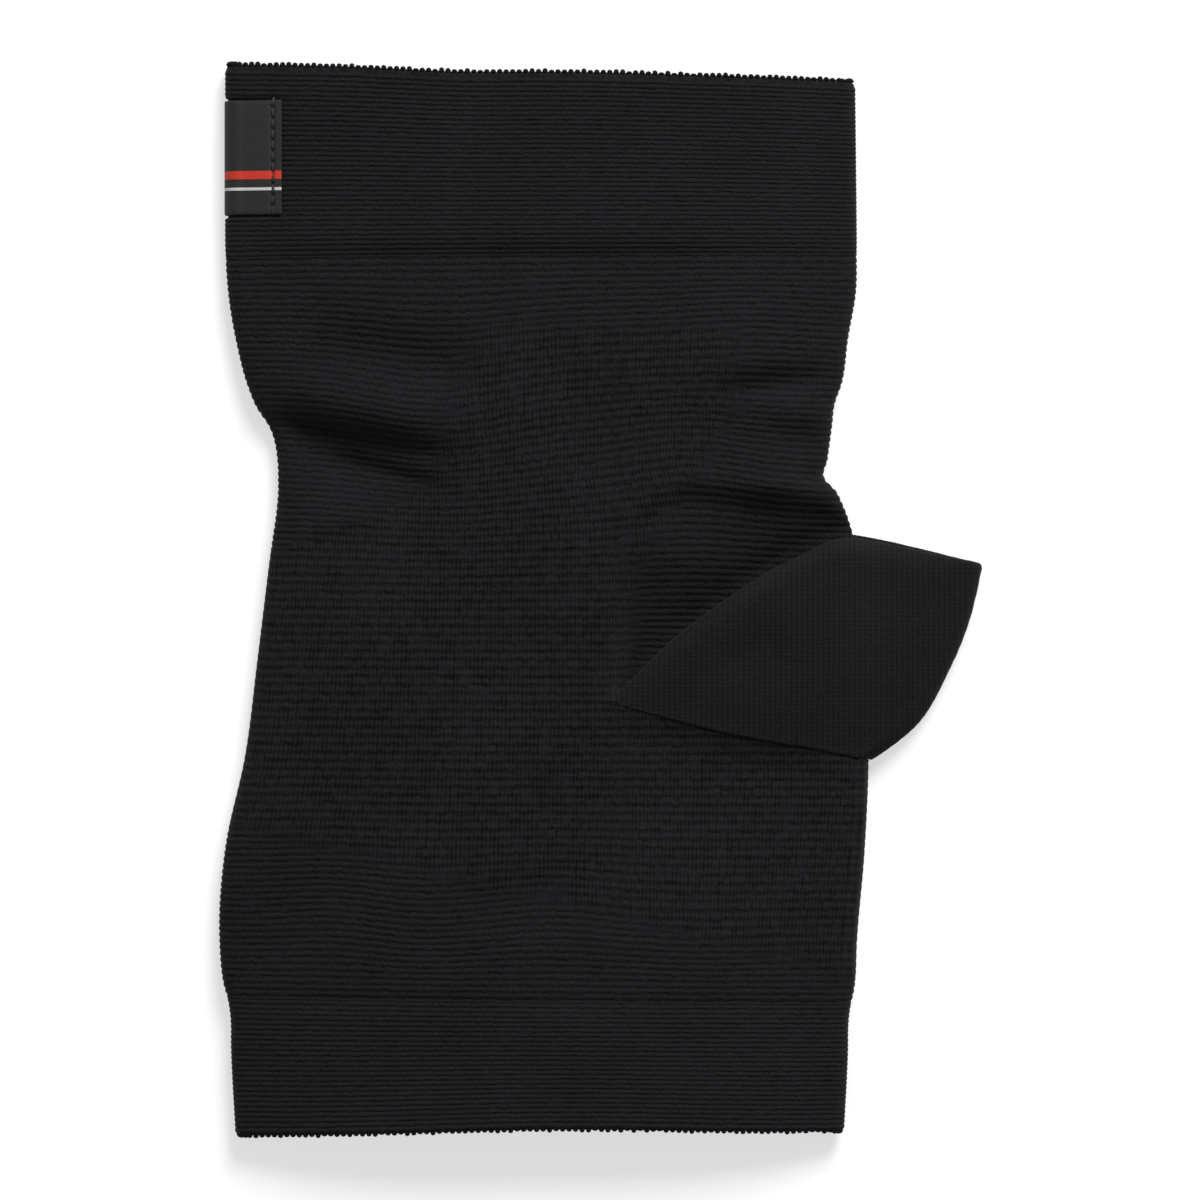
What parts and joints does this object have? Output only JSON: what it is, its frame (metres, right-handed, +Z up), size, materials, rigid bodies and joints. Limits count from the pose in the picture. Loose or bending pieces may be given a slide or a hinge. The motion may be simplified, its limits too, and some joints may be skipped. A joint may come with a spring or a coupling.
{
  "type": "ankle support sleeve",
  "caption": "Knitted elastic ankle support sleeve lying flat, an open tube with doubled cuffs, a folded heel pocket and a sewn edge label.",
  "frame": {"origin": "centre of the footprint, on the surface that the sleeve lies on", "axes": "+Y along the sleeve towards the calf cuff, +X towards the heel, +Z up from the surface"},
  "size_m": [0.1293, 0.1828, 0.0109],
  "materials": {
    "cuff_knit": "fine elastic knit, matt black",
    "body_knit": "ribbed and tuck-stitch elastic knit, matt black",
    "heel_knit": "plain knit with fine wales, matt black",
    "label_cloth": "woven satin, dark grey"
  },
  "bodies": {
    "root": {"calf_cuff": "cuff_knit", "ankle_body": "body_knit", "heel_pocket": "heel_knit", "foot_cuff": "cuff_knit", "label": "label_cloth"}
  },
  "joints": []
}
